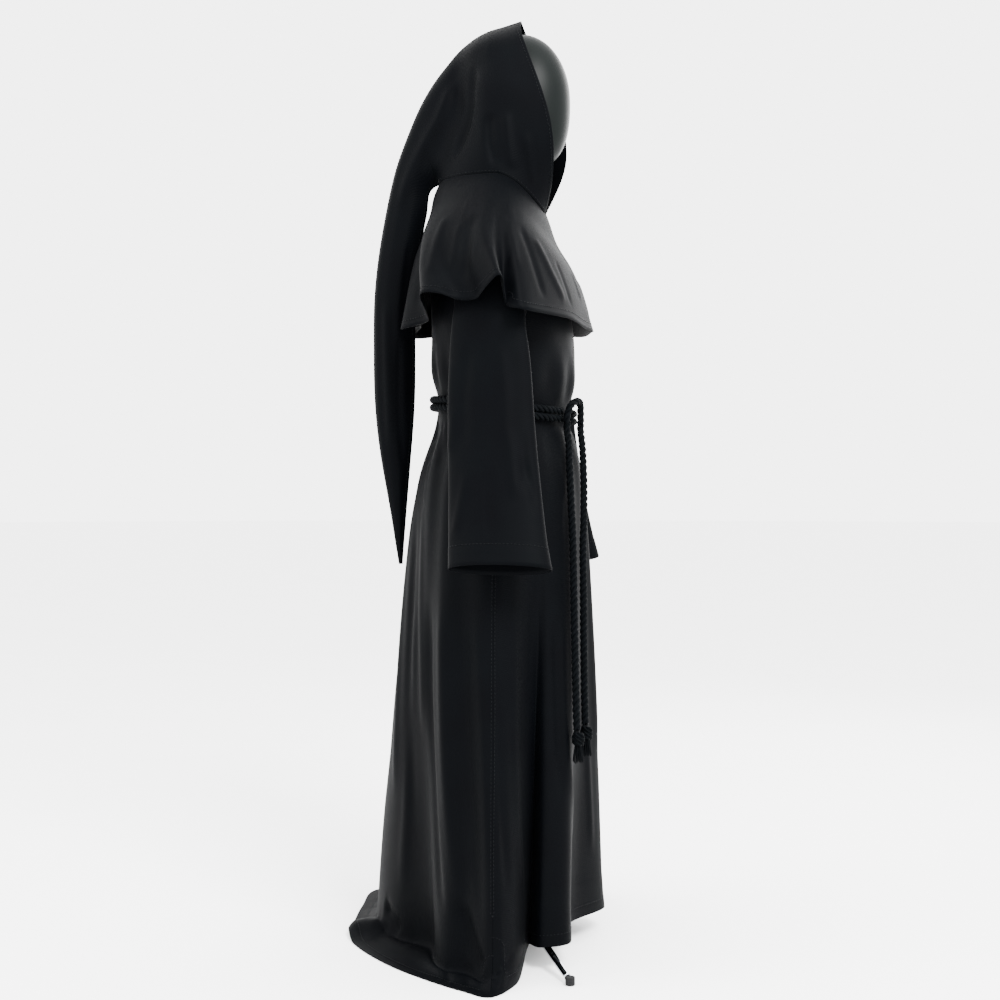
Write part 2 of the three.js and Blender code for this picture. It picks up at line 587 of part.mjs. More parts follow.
// A closed solid of rings, given from the top down as functions of the angle
function ringSolid(rings, sides) {
  const points = [];
  for (const ring of rings) {
    for (let j = 0; j < sides; j++) points.push(ring((j / sides) * 2 * Math.PI));
  }
  const index = [];
  const at = (i, j) => i * sides + (j % sides);
  for (let i = 0; i < rings.length - 1; i++) {
    for (let j = 0; j < sides; j++) {
      index.push(at(i, j), at(i, j + 1), at(i + 1, j), at(i, j + 1), at(i + 1, j + 1), at(i + 1, j));
    }
  }
  for (const [i, turned] of [[0, true], [rings.length - 1, false]]) {
    points.push(rings[i](0).add(rings[i](Math.PI)).multiplyScalar(0.5));
    const centre = points.length - 1;
    for (let j = 0; j < sides; j++) {
      index.push(centre, ...(turned ? [at(i, j + 1), at(i, j)] : [at(i, j), at(i, j + 1)]));
    }
  }
  return new THREE.BufferGeometry().setFromPoints(points).setIndex(index);
}

const torsoUpper = TORSO_UPPER.map((row) => (angle) => overBodice(row.level, angle, -row.clear));
const torsoRings = [...NECK.map(ellipseRing), ...torsoUpper, ...TORSO_LOWER.map(ellipseRing)];
addPiece("form_torso", "shell", ringSolid(torsoRings, FORM_SIDES));

const HEAD = { y: -37, top: 1802, middle: 1667, bottom: HEAD_BASE, width: 78, depth: 98 };
const HEAD_POWER = { crown: 2, chin: 2.7 };
const CROWN_START = 0.35; // the crown's small flat lies this part of a level below its top
const headRings = [];
const HEAD_LEVELS = 12;
for (let i = 0; i <= HEAD_LEVELS; i++) {
  const turn = (Math.PI * clamp(i, CROWN_START, HEAD_LEVELS)) / HEAD_LEVELS;
  const up = Math.cos(turn);
  const high = up > 0 ? HEAD.top - HEAD.middle : HEAD.middle - HEAD.bottom;
  const power = up > 0 ? HEAD_POWER.crown : HEAD_POWER.chin;
  const share = (1 - Math.abs(up) ** power) ** (1 / power);
  headRings.push(ellipseRing({
    z: HEAD.middle + high * up,
    width: HEAD.width * share,
    front: HEAD.depth * share,
    back: HEAD.depth * share,
  }));
}
addPiece("form_head", "shell", ringSolid(headRings, FORM_SIDES)).position.y = HEAD.y;

// Stand: an upright, a hub, three legs and their feet
const POLE = { radius: 11, top: FORM_BASE - SEAM };
const HUB = { radius: 24, bottom: 74, height: 40 };

function upright(radius, bottom, top, sides) {
  const tube = new THREE.CylinderGeometry(radius, radius, top - bottom, sides).rotateX(Math.PI / 2);
  return tube.translate(0, 0, (top + bottom) / 2);
}
const hubTop = HUB.bottom + HUB.height;
const pole = addPiece("stand_pole", "chrome", upright(POLE.radius, hubTop + SEAM, POLE.top, 16));
pole.position.y = POLE_Y;
const hub = addPiece("stand_hub", "chrome", upright(HUB.radius, HUB.bottom, hubTop, 20));
hub.position.y = POLE_Y;

const LEG_CLEAR = 2.6; // from a leg's end to its foot
const FOOT = { radius: 9, height: FOOT_HEIGHT };
for (const i of [0, 1, 2]) {
  const turn = radians(LEG_TURN + 120 * i);
  const outwards = new THREE.Vector3(-Math.sin(turn), -Math.cos(turn), 0);
  const foot = outwards.clone().multiplyScalar(LEG_REACH).setZ(FOOT.height / 2);
  const tilt = Math.atan(LEG_SLOPE);
  const fall = outwards.clone().multiplyScalar(Math.cos(tilt)).setZ(-Math.sin(tilt));
  const end = foot.clone().addScaledVector(fall, -(FOOT.radius + LEG_CLEAR));
  const startOut = HUB.radius + LEG_TUBE * 0.5 * Math.sin(tilt) + SEAM * 2;
  const length = (end.clone().setZ(0).length() - startOut) / Math.cos(tilt);
  const tube = new THREE.CylinderGeometry(LEG_TUBE / 2, LEG_TUBE / 2, length, 12);
  const leg = addPiece("stand_leg_" + (i + 1), "chrome", tube);
  leg.quaternion.setFromUnitVectors(new THREE.Vector3(0, 1, 0), fall);
  leg.position.copy(end).addScaledVector(fall, -length / 2);
  leg.position.y += POLE_Y;
  const shoe = addPiece("stand_foot_" + (i + 1), "rubber", upright(FOOT.radius, 0, FOOT.height, 16));
  shoe.position.set(foot.x, foot.y + POLE_Y, 0);
}

// The group's own middle stands on the origin
const bounds = new THREE.Box3().setFromObject(habit);
const middle = bounds.getCenter(new THREE.Vector3());
habit.position.set(-middle.x, -middle.y, 0);

export default habit;
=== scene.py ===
import math
import random
import bmesh
import bpy
import numpy as np
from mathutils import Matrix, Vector, noise
from mathutils.bvhtree import BVHTree
from mathutils.kdtree import KDTree


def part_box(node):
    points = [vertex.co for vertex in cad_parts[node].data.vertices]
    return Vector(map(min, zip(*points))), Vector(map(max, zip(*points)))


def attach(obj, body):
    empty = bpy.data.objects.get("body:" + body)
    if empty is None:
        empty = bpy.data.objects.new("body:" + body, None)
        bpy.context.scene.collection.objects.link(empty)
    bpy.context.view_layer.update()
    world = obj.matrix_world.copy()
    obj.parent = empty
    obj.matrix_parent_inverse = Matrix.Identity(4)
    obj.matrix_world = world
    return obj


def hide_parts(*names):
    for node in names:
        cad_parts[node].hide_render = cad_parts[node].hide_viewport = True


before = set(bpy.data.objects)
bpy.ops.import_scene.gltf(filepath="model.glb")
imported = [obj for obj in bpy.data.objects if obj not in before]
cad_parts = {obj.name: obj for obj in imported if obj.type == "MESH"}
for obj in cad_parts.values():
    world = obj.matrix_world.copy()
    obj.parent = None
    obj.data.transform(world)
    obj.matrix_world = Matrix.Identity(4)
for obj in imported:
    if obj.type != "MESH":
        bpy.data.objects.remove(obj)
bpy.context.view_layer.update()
mm = 0.001
poleLow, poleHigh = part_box("stand_pole")
poleY = -10 * mm  # the upright stands just in front of the line that the ropes are laid out from
origin = Vector(((poleLow.x + poleHigh.x) / 2, (poleLow.y + poleHigh.y) / 2 - poleY, 0))


def placed(points):
    return [Vector(p) * mm + origin for p in points]


cameraSet = {"place": (-2935.25, -618.13, 900), "aim": (0.978, 0.208, -0.00733), "lens": 54, "sensor": 36}
camera = bpy.data.objects.new("camera", bpy.data.cameras.new("camera"))
camera.data.lens = cameraSet["lens"]
camera.data.sensor_width = cameraSet["sensor"]
camera.location = placed([cameraSet["place"]])[0]
camera.rotation_euler = Vector(cameraSet["aim"]).to_track_quat("-Z", "Y").to_euler()
bpy.context.scene.collection.objects.link(camera)
bpy.context.scene.camera = camera
print("camera placed")


def linear(text):
    parts = [int(text[i:i + 2], 16) / 255 for i in (1, 3, 5)]
    return tuple(c / 12.92 if c < 0.04045 else ((c + 0.055) / 1.055) ** 2.4 for c in parts) + (1,)


def addNode(tree, kind, inputs=None, **settings):
    node = tree.nodes.new(kind)
    for name, value in settings.items():
        setattr(node, name, value)
    for key, value in (inputs or {}).items():
        if isinstance(value, bpy.types.NodeSocket):
            tree.links.new(value, node.inputs[key])
        else:
            node.inputs[key].default_value = value
    return node


def bandScale(spacing):
    # diagonal bands of a wave texture repeat every 2 pi / (10 scale) along x + y + z
    return 2 * math.pi / (10 * spacing * mm * math.sqrt(2))


def newMaterial(name, dark, light, mottle, pattern, height, strength, shader):
    # dark and light: hex colours, mixed by soft mottling of the size mottle in mm
    # pattern(tree, coords) gives the socket that the relief reads; height is in mm
    material = bpy.data.materials.new(name)
    material.use_nodes = True
    tree = material.node_tree
    surface = tree.nodes["Principled BSDF"]
    for key, value in shader.items():
        surface.inputs[key].default_value = value
    coords = addNode(tree, "ShaderNodeTexCoord").outputs["Object"]
    cloud = addNode(tree, "ShaderNodeTexNoise", {"Vector": coords, "Scale": 1 / (mottle * mm), "Detail": 4})
    tint = addNode(tree, "ShaderNodeMix",
                   {"Factor": cloud.outputs["Fac"], 6: linear(dark), 7: linear(light)}, data_type="RGBA")
    tree.links.new(tint.outputs[2], surface.inputs["Base Color"])
    relief = addNode(tree, "ShaderNodeBump", {"Height": pattern(tree, coords), "Distance": height * mm,
                                              "Strength": strength})
    tree.links.new(relief.outputs["Normal"], surface.inputs["Normal"])
    return material


def twill(tree, coords):
    # wool gabardine has ribs 0.7 mm apart; drawn 3 mm apart so that they show at this size
    ribs = addNode(tree, "ShaderNodeTexWave", {"Vector": coords, "Scale": bandScale(3), "Distortion": 0.6,
                                               "Detail": 2}, bands_direction="DIAGONAL")
    fuzz = addNode(tree, "ShaderNodeTexNoise", {"Vector": coords, "Scale": 700, "Detail": 3})
    return addNode(tree, "ShaderNodeMath", {0: ribs.outputs["Fac"], 1: fuzz.outputs["Fac"]},
                   operation="ADD").outputs[0]


def yarn(tree, coords):
    # cotton yarns 1.2 mm thick run along the strands
    yarns = addNode(tree, "ShaderNodeTexWave", {"Vector": coords, "Scale": bandScale(1.8), "Distortion": 1.5,
                                                "Detail": 2}, bands_direction="DIAGONAL")
    return yarns.outputs["Fac"]


def grain(size):
    def pattern(tree, coords):
        speck = addNode(tree, "ShaderNodeTexNoise",
                        {"Vector": coords, "Scale": 1 / (size * mm), "Detail": 3})
        return speck.outputs["Fac"]
    return pattern


# Dyed wool gabardine: nearly black with a cool cast, matt, with a soft bloom where it turns away
gabardine = newMaterial("dyed_wool_gabardine", "#010102", "#020304", 90, twill, 0.25, 0.5,
                        {"Roughness": 0.6, "Sheen Weight": 0.002, "Sheen Roughness": 0.4,
                         "Specular IOR Level": 0.016})
# Topstitching thread: polyester, a shade glossier than the cloth so that the seams just catch light
thread = newMaterial("polyester_thread", "#040506", "#07080a", 6, grain(0.4), 0.1, 0.4,
                     {"Roughness": 0.5, "Specular IOR Level": 0.04})
# Laid cotton rope: dyed like the cloth, with the strands' lay showing as light and dark
cotton = newMaterial("laid_cotton_rope", "#010202", "#040507", 12, yarn, 0.3, 0.7,
                     {"Roughness": 0.65, "Sheen Weight": 0.002, "Sheen Roughness": 0.4,
                      "Specular IOR Level": 0.015})
# Painted glass-fibre shell: satin grey-green with a faint orange-peel surface
shellPaint = newMaterial("satin_painted_glass_fibre", "#040606", "#070a09", 60, grain(2.5), 0.05, 0.3,
                         {"Roughness": 0.42, "Specular IOR Level": 0.045})
# Chromed steel tube: mirror-like with faint draw marks
chromeSteel = newMaterial("chromed_steel", "#b4b7bb", "#c4c7cb", 20, grain(0.5), 0.01, 0.15,
                          {"Metallic": 1.0, "Roughness": 0.14})
# Moulded rubber foot: dull and slightly dusty
rubber = newMaterial("moulded_rubber", "#0c0c0d", "#151516", 8, grain(0.6), 0.05, 0.4,
                     {"Roughness": 0.78, "Specular IOR Level": 0.1})
print("materials made")


def newTree(name, sizes):
    tree = bpy.data.node_groups.new(name, "GeometryNodeTree")
    tree.interface.new_socket("Geometry", in_out="INPUT", socket_type="NodeSocketGeometry")
    for label, value in sizes.items():
        kind = "NodeSocketInt" if isinstance(value, int) else "NodeSocketFloat"
        tree.interface.new_socket(label, in_out="INPUT", socket_type=kind).default_value = value
    tree.interface.new_socket("Material", in_out="INPUT", socket_type="NodeSocketMaterial")
    tree.interface.new_socket("Geometry", in_out="OUTPUT", socket_type="NodeSocketGeometry")
    return tree, addNode(tree, "NodeGroupInput").outputs


def closeTree(tree, geometry, material):
    whole = addNode(tree, "GeometryNodeRealizeInstances", {0: geometry})
    smooth = addNode(tree, "GeometryNodeSetShadeSmooth", {0: whole.outputs[0]})
    dressed = addNode(tree, "GeometryNodeSetMaterial", {"Geometry": smooth.outputs[0], "Material": material})
    addNode(tree, "NodeGroupOutput", {0: dressed.outputs[0]})


def ropeTree():
    tree, sizes = newTree("rope strands",
                          {"Diameter": 14.5 * mm, "Lay": 38 * mm, "Strands": 3, "Step": 3 * mm})

    def calc(operation, a, b=0.0):
        return addNode(tree, "ShaderNodeMath", {0: a, 1: b}, operation=operation).outputs[0]

    def scaled(vector, by):
        return addNode(tree, "ShaderNodeVectorMath", {0: vector, "Scale": by}, operation="SCALE").outputs[0]

    line = addNode(tree, "GeometryNodeMeshToCurve", {"Mesh": sizes["Geometry"]})
    even = addNode(tree, "GeometryNodeResampleCurve", {"Curve": line.outputs[0], "Length": sizes["Step"]},
                   mode="LENGTH")
    copies = addNode(tree, "GeometryNodeDuplicateElements", {"Geometry": even.outputs[0],
                                                             "Amount": sizes["Strands"]}, domain="SPLINE")
    reached = addNode(tree, "GeometryNodeSplineParameter").outputs["Length"]
    turns = calc("DIVIDE", reached, sizes["Lay"])
    share = calc("DIVIDE", copies.outputs["Duplicate Index"], sizes["Strands"])
    angle = calc("MULTIPLY", calc("ADD", turns, share), 2 * math.pi)
    normal = addNode(tree, "GeometryNodeInputNormal").outputs[0]
    tangent = addNode(tree, "GeometryNodeInputTangent").outputs[0]
    side = addNode(tree, "ShaderNodeVectorMath", {0: tangent, 1: normal},
                   operation="CROSS_PRODUCT").outputs[0]
    radius = calc("MULTIPLY", sizes["Diameter"], 0.28)
    along = scaled(normal, calc("MULTIPLY", calc("COSINE", angle), radius))
    across = scaled(side, calc("MULTIPLY", calc("SINE", angle), radius))
    offset = addNode(tree, "ShaderNodeVectorMath", {0: along, 1: across}, operation="ADD").outputs[0]
    laid = addNode(tree, "GeometryNodeSetPosition", {"Geometry": copies.outputs[0], "Offset": offset})
    section = addNode(tree, "GeometryNodeCurvePrimitiveCircle",
                      {"Resolution": 9, "Radius": calc("MULTIPLY", sizes["Diameter"], 0.235)})
    tube = addNode(tree, "GeometryNodeCurveToMesh", {"Curve": laid.outputs[0],
                                                     "Profile Curve": section.outputs[0], "Fill Caps": True})
    closeTree(tree, tube.outputs[0], sizes["Material"])
    return tree


def stitchTree():
    tree, sizes = newTree("stitches", {"Spacing": 7 * mm, "Stitch": 4.6 * mm, "Thread": 0.55 * mm})
    line = addNode(tree, "GeometryNodeMeshToCurve", {"Mesh": sizes["Geometry"]})
    spots = addNode(tree, "GeometryNodeCurveToPoints",
                    {"Curve": line.outputs[0], "Length": sizes["Spacing"]}, mode="LENGTH")
    one = addNode(tree, "GeometryNodeMeshCylinder", {"Vertices": 5, "Radius": sizes["Thread"],
                                                     "Depth": sizes["Stitch"]})
    row = addNode(tree, "GeometryNodeInstanceOnPoints", {"Points": spots.outputs[0],
                                                         "Instance": one.outputs["Mesh"],
                                                         "Rotation": spots.outputs["Rotation"]})
    closeTree(tree, row.outputs[0], sizes["Material"])
    return tree


def runTree(name, lines, tree, values):
    # lines: lists of points; each becomes a chain of edges that the tree reads as a curve
    points, edges = [], []
    for line in lines:
        edges += [(len(points) + i, len(points) + i + 1) for i in range(len(line) - 1)]
        points += [tuple(p) for p in line]
    mesh = bpy.data.meshes.new(name + "_line")
    mesh.from_pydata(points, edges, [])
    carrier = bpy.data.objects.new(name + "_line", mesh)
    bpy.context.scene.collection.objects.link(carrier)
    modifier = carrier.modifiers.new("nodes", "NODES")
    modifier.node_group = tree
    for item in tree.interface.items_tree:
        if item.in_out == "INPUT" and item.name in values:
            modifier[item.identifier] = values[item.name]
    made = settle(carrier, name)
    made.data.materials.clear()
    made.data.materials.append(values["Material"])
    return made


def settle(carrier, name):
    graph = bpy.context.evaluated_depsgraph_get()
    mesh = bpy.data.meshes.new_from_object(carrier.evaluated_get(graph))
    bpy.data.objects.remove(carrier)
    mesh.name = name
    piece = bpy.data.objects.new(name, mesh)
    bpy.context.scene.collection.objects.link(piece)
    return piece


def finishPiece(piece, slotName, *nodes):
    if nodes:
        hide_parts(*nodes)
    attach(piece, "root")
    return piece


def smoothRoute(points, step=3 * mm):
    points = [Vector(p) for p in points]
    route = []
    for i in range(len(points) - 1):
        a, b, c, d = (points[max(0, min(len(points) - 1, i + k))] for k in (-1, 0, 1, 2))
        count = max(2, round((c - b).length / step))
        for k in range(count):
            t = k / count
            route.append(0.5 * (2 * b + (c - a) * t + (2 * a - 5 * b + 4 * c - d) * t * t
                                + (3 * b - a - 3 * c + d) * t ** 3))
    return route + [points[-1]]


rope = {"diameter": 14.5, "lay": 38, "beltHalfWidth": 171, "beltFront": 140, "beltBack": 137,
        "beltHeight": 1056, "beltTilt": 0.1, "turnGap": 7.55, "turnFrom": 22, "turnTo": 366}
knotRoute = [(-74, -142, 1028), (-74, -142, 1040), (-66, -148.5, 1062), (-44, -157, 1071), (-20, -159, 1066),
             (-8, -158, 1042), (-8, -158, 1028)]
endRoutes = {
    "right": [(-74, -142, 1027.4), (-74, -142, 1014), (-86, -148, 986), (-98, -151, 950), (-108, -155, 890),
              (-117, -160, 812), (-125, -163, 740), (-131, -166, 640), (-137, -169, 540), (-141, -172, 446)],
    "left": [(-8, -158, 1027.4), (-8, -158, 1014), (-18, -163, 986), (-30, -167, 949), (-46, -171, 894),
             (-68, -174, 839), (-84, -175, 785), (-92, -177, 691), (-94, -178, 600), (-99, -180, 520),
             (-103, -182, 452)],
}
endKnot = {"height": 34, "forward": 3, "gap": 0.3, "turns": 3.2, "coil": 7.5, "ropeSize": 11,
           "strands": 15, "length": 48, "spread": 7, "thick": 1.5, "seed": 4}
ropeNodes, stitchNodes = ropeTree(), stitchTree()
ropeValues = {"Diameter": rope["diameter"] * mm, "Lay": rope["lay"] * mm, "Material": cotton}

for name, rise in (("belt_upper", 1), ("belt_lower", -1)):
    turn = []
    for i in range(121):
        angle = math.radians(rope["turnFrom"] + (rope["turnTo"] - rope["turnFrom"]) * i / 120)
        depth = rope["beltFront"] if math.cos(angle) > 0 else rope["beltBack"]
        y = -depth * math.cos(angle)
        turn.append((-rope["beltHalfWidth"] * math.sin(angle), y,
                     rope["beltHeight"] + rope["beltTilt"] * y + rise * rope["turnGap"]))
    piece = runTree(name, [placed(turn)], ropeNodes, ropeValues)
    finishPiece(piece, "rope", name.replace("belt_", "belt_turn_"))
bight = runTree("belt_bight", [smoothRoute(placed(knotRoute))], ropeNodes, ropeValues)
finishPiece(bight, "rope", "belt_knot")


def tuftBelow(centre, top, settings):
    # strands of unlaid rope, rooted inside the end knot
    rng = random.Random(settings["seed"])
    mesh = bmesh.new()
    for i in range(settings["strands"]):
        turn = 2 * math.pi * i * 0.382
        out = math.sqrt((i + 0.5) / settings["strands"])
        drop = settings["length"] * (0.85 + 0.15 * rng.random())
        rings = []
        for k, share in enumerate((0, 0.3, 0.65, 1)):
            reach = (5 + settings["spread"] * share) * out + rng.uniform(-0.6, 0.6)
            heart = Vector((centre.x + reach * mm * math.cos(turn + 0.3 * share),
                            centre.y + reach * mm * math.sin(turn + 0.3 * share), top - drop * share * mm))
            thick = settings["thick"] * (1 - 0.35 * share) * mm
            rings.append([mesh.verts.new(heart + Vector((math.cos(a), math.sin(a), 0)) * thick)
                          for a in (0, math.pi / 2, math.pi, 1.5 * math.pi)])
        for upper, lower in zip(rings, rings[1:]):
            for a in range(4):
                mesh.faces.new((upper[a], lower[a], lower[(a + 1) % 4], upper[(a + 1) % 4]))
        mesh.faces.new(rings[0])
        mesh.faces.new(rings[-1][::-1])
    bmesh.ops.recalc_face_normals(mesh, faces=mesh.faces)
    return mesh


for side, points in endRoutes.items():
    path = smoothRoute(placed(points))
    end = path[-1] + Vector((0, -endKnot["forward"], -endKnot["gap"] - endKnot["height"] / 2)) * mm
    coil = []
    for i in range(97):
        t = i / 96
        angle = 2 * math.pi * endKnot["turns"] * t
        reach = endKnot["coil"] * math.sin(math.pi * (0.12 + 0.76 * t)) ** 0.5 * mm
        coil.append(end + Vector((reach * math.cos(angle), reach * math.sin(angle),
                                  (0.5 - t) * (endKnot["height"] - endKnot["ropeSize"]) * mm)))
    knot = runTree("knot_" + side, [coil], ropeNodes,
                   {"Diameter": endKnot["ropeSize"] * mm, "Lay": 30 * mm, "Step": 2 * mm, "Material": cotton})
    whole = tuftBelow(end, end.z, endKnot)
    whole.from_mesh(knot.data)
    whole.to_mesh(knot.data)
    whole.free()
    knot.data.shade_smooth()
    finishPiece(knot, "rope", "end_knot_" + side)
    hanging = runTree("rope_" + side, [path], ropeNodes, ropeValues)
    finishPiece(hanging, "rope", "belt_end_" + side)
    length = sum((b - a).length for a, b in zip(path, path[1:]))
    print("rope", side, "is", round(length, 3), "m")
    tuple(path[0])
print("rope laid")


# lengths in mm; taper is the share of a crease over which each end dies out
cloth = {"wall": 2, "shell": 1.6, "levels": 3, "fade": 16, "hemRaise": 0.7, "hemEdge": 6, "weaveDrift": 0.9,
         "driftPerMetre": 14, "taper": 0.22, "aboveFloor": 0.2, "stitchLift": 0.2}


def outerWall(node):
    # the outer face of a cloth wall, as quads; the rims' short edges are as long as the wall is thick
    mesh = bmesh.new()
    mesh.from_mesh(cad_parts[node].data)
    bmesh.ops.remove_doubles(mesh, verts=mesh.verts, dist=0.02 * mm)
    wall = cloth["wall"] * mm
    rim = {f for e in mesh.edges if abs(e.calc_length() - wall) < 0.003 * mm for f in e.link_faces}
    bmesh.ops.delete(mesh, geom=list(rim), context="FACES")
    groups, seen = [], set()
    for face in mesh.faces:
        if face in seen:
            continue
        group, queue = [], [face]
        seen.add(face)
        while queue:
            f = queue.pop()
            group.append(f)
            for e in f.edges:
                for g in e.link_faces:
                    if g not in seen:
                        seen.add(g)
                        queue.append(g)
        groups.append(group)
    groups.sort(key=lambda g: -sum(f.calc_area() for f in g))
    print(node, "walls", [len(g) for g in groups])
    bmesh.ops.delete(mesh, geom=[f for g in groups[1:] for f in g], context="FACES")
    bmesh.ops.join_triangles(mesh, faces=mesh.faces, angle_face_threshold=math.pi,
                             angle_shape_threshold=math.pi)
    bmesh.ops.delete(mesh, geom=[v for v in mesh.verts if not v.link_faces], context="VERTS")
    return mesh


def coordsOf(mesh):
    flat = np.empty(len(mesh.vertices) * 3)
    mesh.vertices.foreach_get("co", flat)
    return flat.reshape(-1, 3)


def refined(bm, name, levels):
    # Subdivision that still passes through the points it started from
    mesh = bpy.data.meshes.new(name)
    bm.to_mesh(mesh)
    bm.free()
    carrier = bpy.data.objects.new(name + "_coarse", mesh)
    bpy.context.scene.collection.objects.link(carrier)
    modifier = carrier.modifiers.new("smooth", "SUBSURF")
    modifier.levels = modifier.render_levels = levels
    modifier.boundary_smooth = "PRESERVE_CORNERS"
    modifier.use_limit_surface = False
    wanted = coordsOf(mesh)
    control = wanted.copy()
    for i in range(3):
        graph = bpy.context.evaluated_depsgraph_get()
        now = coordsOf(carrier.evaluated_get(graph).data)[:len(wanted)]
        control += 0.8 * (wanted - now)
        mesh.vertices.foreach_set("co", control.ravel())
        mesh.update()
        carrier.update_tag()
    return settle(carrier, name)


def distanceTo(points, line):
    # for each point: its distance to a smoothed line, and how far along the line that is (0 to 1)
    route = np.array([tuple(p) for p in smoothRoute([Vector(p) * mm for p in line], 25 * mm)])
    best, where = np.full(len(points), 1e9), np.zeros(len(points))
    for i in range(len(route) - 1):
        a, ab = route[i], route[i + 1] - route[i]
        t = np.clip(((points - a) @ ab) / max(ab @ ab, 1e-12), 0, 1)
        away = np.linalg.norm(points - a - t[:, None] * ab, axis=1)
        nearer = away < best
        best[nearer] = away[nearer]
        where[nearer] = ((i + t) / (len(route) - 1))[nearer]
    return best, where


def edgePoints(mesh, keep):
    # boundary points of an open mesh that keep(point) accepts
    counts = {}
    for face in mesh.polygons:
        for key in face.edge_keys:
            counts[key] = counts.get(key, 0) + 1
    rim = {v for key, n in counts.items() if n == 1 for v in key}
    return [mesh.vertices[v].co.copy() for v in rim if keep(mesh.vertices[v].co)]


def nearest(mesh, points):
    tree = KDTree(len(points))
    for i, p in enumerate(points):
        tree.insert(p, i)
    tree.balance()
    return np.array([tree.find(v.co)[2] for v in mesh.vertices])


def contour(mesh, values, level, lift):
    # chains of points along which values equals level, lifted a little off the surface
    normals = [v.normal.copy() for v in mesh.vertices]
    mesh.calc_loop_triangles()
    links = {}
    spots = {}
    for tri in mesh.loop_triangles:
        v = tri.vertices
        over = [values[k] > level for k in v]
        if all(over) or not any(over):
            continue
        keys = []
        for i in range(3):
            a, b = v[i], v[(i + 1) % 3]
            if (values[a] > level) != (values[b] > level):
                key = (min(a, b), max(a, b))
                t = (level - values[key[0]]) / (values[key[1]] - values[key[0]])
                spots[key] = (mesh.vertices[key[0]].co.lerp(mesh.vertices[key[1]].co, t)
                              + normals[key[0]].lerp(normals[key[1]], t) * lift)
                keys.append(key)
        links.setdefault(keys[0], []).append(keys[1])
        links.setdefault(keys[1], []).append(keys[0])
    chains, used = [], set()
    for start in sorted(links, key=lambda k: len(links[k])):
        if start in used:
            continue
        chain, key = [], start
        while key is not None:
            used.add(key)
            chain.append(spots[key])
            key = next((k for k in links[key] if k not in used), None)
        if len(chain) > 8:
            chains.append(chain)
    return chains


def sew(node, name, creases, hem, seams, fold, under=None, seat=None):
    # creases: from creasesOn; hem and seams: lists of (test of a boundary point, stitches' distance in mm)
    # fold: how often per metre of height the cloth's slight unevenness turns
    piece = refined(outerWall(node), name, cloth["levels"])
    mesh = piece.data
    points = coordsOf(mesh)
    flatNormals = np.empty(len(points) * 3)
    mesh.vertices.foreach_get("normal", flatNormals)
    normals = flatNormals.reshape(-1, 3)
    push = np.zeros(len(points))
    for depth, width, line in creases:
        away, where = distanceTo(points, line)
        taper = np.clip(np.minimum(where, 1 - where) / cloth["taper"], 0, 1)
        push += depth * mm * taper * (3 - 2 * taper) * taper * np.exp(-(away / (width * mm)) ** 2)
    across = cloth["driftPerMetre"]
    drift = np.array([noise.noise(Vector((p[0] * across, p[1] * across, p[2] * fold))) for p in points])
    push += cloth["weaveDrift"] * mm * drift
    rim = nearest(mesh, edgePoints(mesh, lambda p: True))
    push *= np.clip(rim / (cloth["fade"] * mm), 0, 1)
    if under:
        push -= under(points)
    points = points.copy()
    if seat:
        points[:, 2] -= seat(points, rim)
    hems = [(nearest(mesh, edgePoints(mesh, test)), away) for test, away in hem]
    for distance, away in hems:
        push += cloth["hemRaise"] * mm * np.clip((away * mm - distance) / (cloth["hemEdge"] * mm), 0, 1)
    mesh.vertices.foreach_set("co", (points + normals * push[:, None]).ravel())
    mesh.update()
    lines = []
    for distance, away in hems + [(nearest(mesh, edgePoints(mesh, test)), away) for test, away in seams]:
        lines += contour(mesh, distance, away * mm, cloth["stitchLift"] * mm)
    solid = piece.modifiers.new("thickness", "SOLIDIFY")
    solid.thickness = cloth["shell"] * mm
    solid.offset = -1
    piece = settle(piece, name)
    for vertex in piece.data.vertices:
        vertex.co.z = max(vertex.co.z, cloth["aboveFloor"] * mm)  # the train doesn't reach into the floor
    piece.data.shade_smooth()
    piece.data.materials.clear()
    piece.data.materials.append(gabardine)
    finishPiece(piece, "wool", node)
    if lines:
        stitches = finishPiece(runTree(name + "_stitches", lines, stitchNodes, {"Material": thread}), "wool")
    print(name, "sewn,", len(piece.data.polygons), "faces, area",
          round(sum(f.area for f in piece.data.polygons) / 2, 3))
    return piece


viewWidth = 1000  # places in the camera's view are counted in 1000ths of its width, from the top left


def inView(across, down):
    # the line of sight through a place in the camera's view
    aim = Vector(cameraSet["aim"])
    focus = viewWidth * cameraSet["lens"] / cameraSet["sensor"]
    right = Vector((aim.y, -aim.x, 0)) * (across - viewWidth / 2) / focus
    return camera.location, aim + right - Vector((0, 0, (down - viewWidth / 2) / focus))


def fromRound(angle, height):
    # a level line in towards the upright: degrees from the front towards the wearer's right, height in mm
    turn = math.radians(angle)
    inward = Vector((math.sin(turn), math.cos(turn), 0))
    return placed([(0, 0, height)])[0] - inward, inward


def creasesOn(nodes, rows):
    # each row's places, carried along their lines to the first cloth they meet, to the nearest mm
    corners, faces = [], []
    for node in nodes:
        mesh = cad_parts[node].data
        faces += [[len(corners) + v for v in face.vertices] for face in mesh.polygons]
        corners += [v.co.copy() for v in mesh.vertices]
    surface = BVHTree.FromPolygons(corners, faces)
    creases = []
    for depth, width, line, places in rows:
        met = []
        for place in places:
            start, direction = line(*place)
            met.append(surface.ray_cast(start, direction.normalized())[0])
        creases.append((depth, width, [tuple(round(x / mm) for x in point) for point in met]))
    return creases


